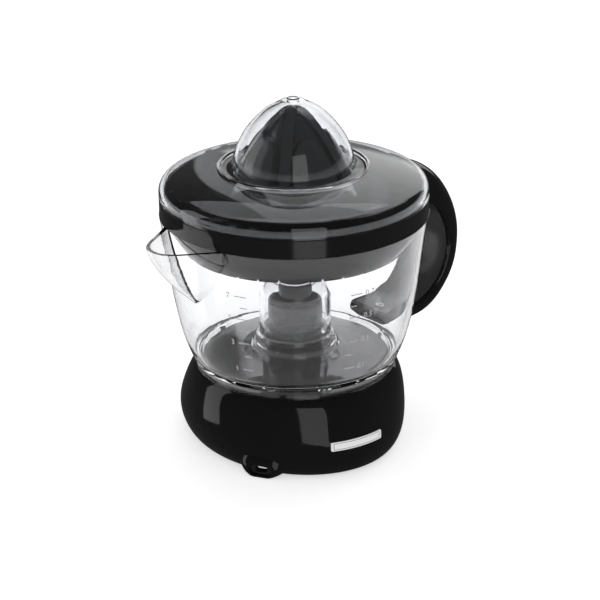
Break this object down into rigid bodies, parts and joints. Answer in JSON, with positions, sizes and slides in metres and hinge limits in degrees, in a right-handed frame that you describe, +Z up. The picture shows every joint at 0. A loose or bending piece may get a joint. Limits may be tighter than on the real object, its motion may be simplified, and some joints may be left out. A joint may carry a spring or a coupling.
{
  "type": "citrus press juicer",
  "caption": "Electric citrus press with a rounded oval motor base, clear spouted jug with a crowned handle, slotted strainer, lobed reamer and clear domed lid.",
  "frame": {"origin": "on the drive axis, on the surface that the foot ring stands on", "axes": "+Z up along the drive axis, +X towards the handle, -X towards the spout, -Y towards the badge on the front"},
  "size_m": [0.2172, 0.1506, 0.2021],
  "materials": {
    "black_gloss": "glossy black moulding",
    "clear_plastic": "clear polished moulding",
    "black_plastic": "fine satin moulding",
    "grey_plastic": "satin moulding",
    "pale_plate": "printed plate",
    "rubber": "matt rubber",
    "steel": "drawn steel",
    "zinc_plate": "zinc plated sheet",
    "bush_bronze": "sintered bronze",
    "copper_winding": "enamelled wire",
    "magnet": "ferrite",
    "white_gear": "unfilled acetal"
  },
  "bodies": {
    "base": {"base_housing": "black_gloss", "badge": "pale_plate", "base_plate": "black_plastic", "foot_ring": "rubber", "plate_screws": "steel", "tower_cap": "grey_plastic", "tower_bush": "bush_bronze", "tower_seal": "rubber", "chassis_plate": "zinc_plate", "chassis_screws": "steel", "lower_bush": "bush_bronze", "motor_can": "zinc_plate", "motor_cover": "black_plastic", "motor_screws": "steel", "motor_winding": "copper_winding", "motor_poles": "zinc_plate", "idler_pin": "steel", "idler_clip": "steel", "press_spring": "steel", "switch_body": "black_plastic", "switch_terminals": "bush_bronze", "cord_gland": "rubber", "terminal_block": "grey_plastic", "terminal_screws": "steel"},
    "output_gear_body": {"output_gear": "white_gear"},
    "idler_body": {"idler_gear": "white_gear"},
    "rotor_body": {"rotor_magnet": "magnet", "motor_shaft": "steel", "motor_pinion": "white_gear"},
    "shaft_body": {"drive_shaft": "steel", "thrust_pad": "black_plastic"},
    "plunger_body": {"switch_plunger": "black_plastic"},
    "jug_body": {"jug": "clear_plastic", "handle_shell": "black_gloss", "handle_liner": "black_gloss", "handle_screws": "steel"},
    "strainer_body": {"strainer": "black_gloss"},
    "bush_body": {"stem_bush": "black_plastic"},
    "washer_body": {"thrust_washer": "black_plastic"},
    "reamer_body": {"reamer_stem": "black_plastic", "reamer_cone": "black_gloss"},
    "lid_body": {"lid": "clear_plastic"}
  },
  "joints": [
    {"name": "drive_spin", "type": "hinge", "parent": "base", "child": "output_gear_body", "pos_m": [0, 0, 0.037], "axis": [0, 0, 1], "continuous": true},
    {"name": "idler_spin", "type": "hinge", "parent": "base", "child": "idler_body", "pos_m": [-0.0099, 0.0263, 0.035], "axis": [0, 0, 1], "continuous": true},
    {"name": "rotor_spin", "type": "hinge", "parent": "base", "child": "rotor_body", "pos_m": [0.0165, 0.02858, 0.02], "axis": [0, 0, 1], "continuous": true},
    {"name": "shaft_press", "type": "slide", "parent": "output_gear_body", "child": "shaft_body", "axis": [0, 0, -1], "range_m": [0, 0.0025], "stiffness_N_per_m": 1500, "springref_m": -0.003, "deforming": ["press_spring"]},
    {"name": "plunger_press", "type": "slide", "parent": "base", "child": "plunger_body", "axis": [0, 0, -1], "range_m": [0, 0.0025]},
    {"name": "jug_lift", "type": "slide", "parent": "base", "child": "jug_body", "axis": [0, 0, 1], "range_m": [0, 0.08]},
    {"name": "strainer_lift", "type": "slide", "parent": "jug_body", "child": "strainer_body", "axis": [0, 0, 1], "range_m": [0, 0.06]},
    {"name": "reamer_lift", "type": "slide", "parent": "strainer_body", "child": "bush_body", "axis": [0, 0, 1], "range_m": [0, 0.07]},
    {"name": "reamer_press", "type": "slide", "parent": "bush_body", "child": "washer_body", "axis": [0, 0, -1], "range_m": [0, 0.0025]},
    {"name": "reamer_spin", "type": "hinge", "parent": "washer_body", "child": "reamer_body", "pos_m": [0, 0, 0.16], "axis": [0, 0, 1], "continuous": true},
    {"name": "lid_lift", "type": "slide", "parent": "bush_body", "child": "lid_body", "axis": [0, 0, 1], "range_m": [0, 0.06]}
  ],
  "couplings": [
    {"joint": "idler_spin", "follows": "drive_spin", "ratio": -3.6667},
    {"joint": "rotor_spin", "follows": "drive_spin", "ratio": 16.5},
    {"joint": "reamer_spin", "follows": "drive_spin", "ratio": 1},
    {"joint": "plunger_press", "follows": "shaft_press", "ratio": 1},
    {"joint": "reamer_press", "follows": "shaft_press", "ratio": 1}
  ]
}
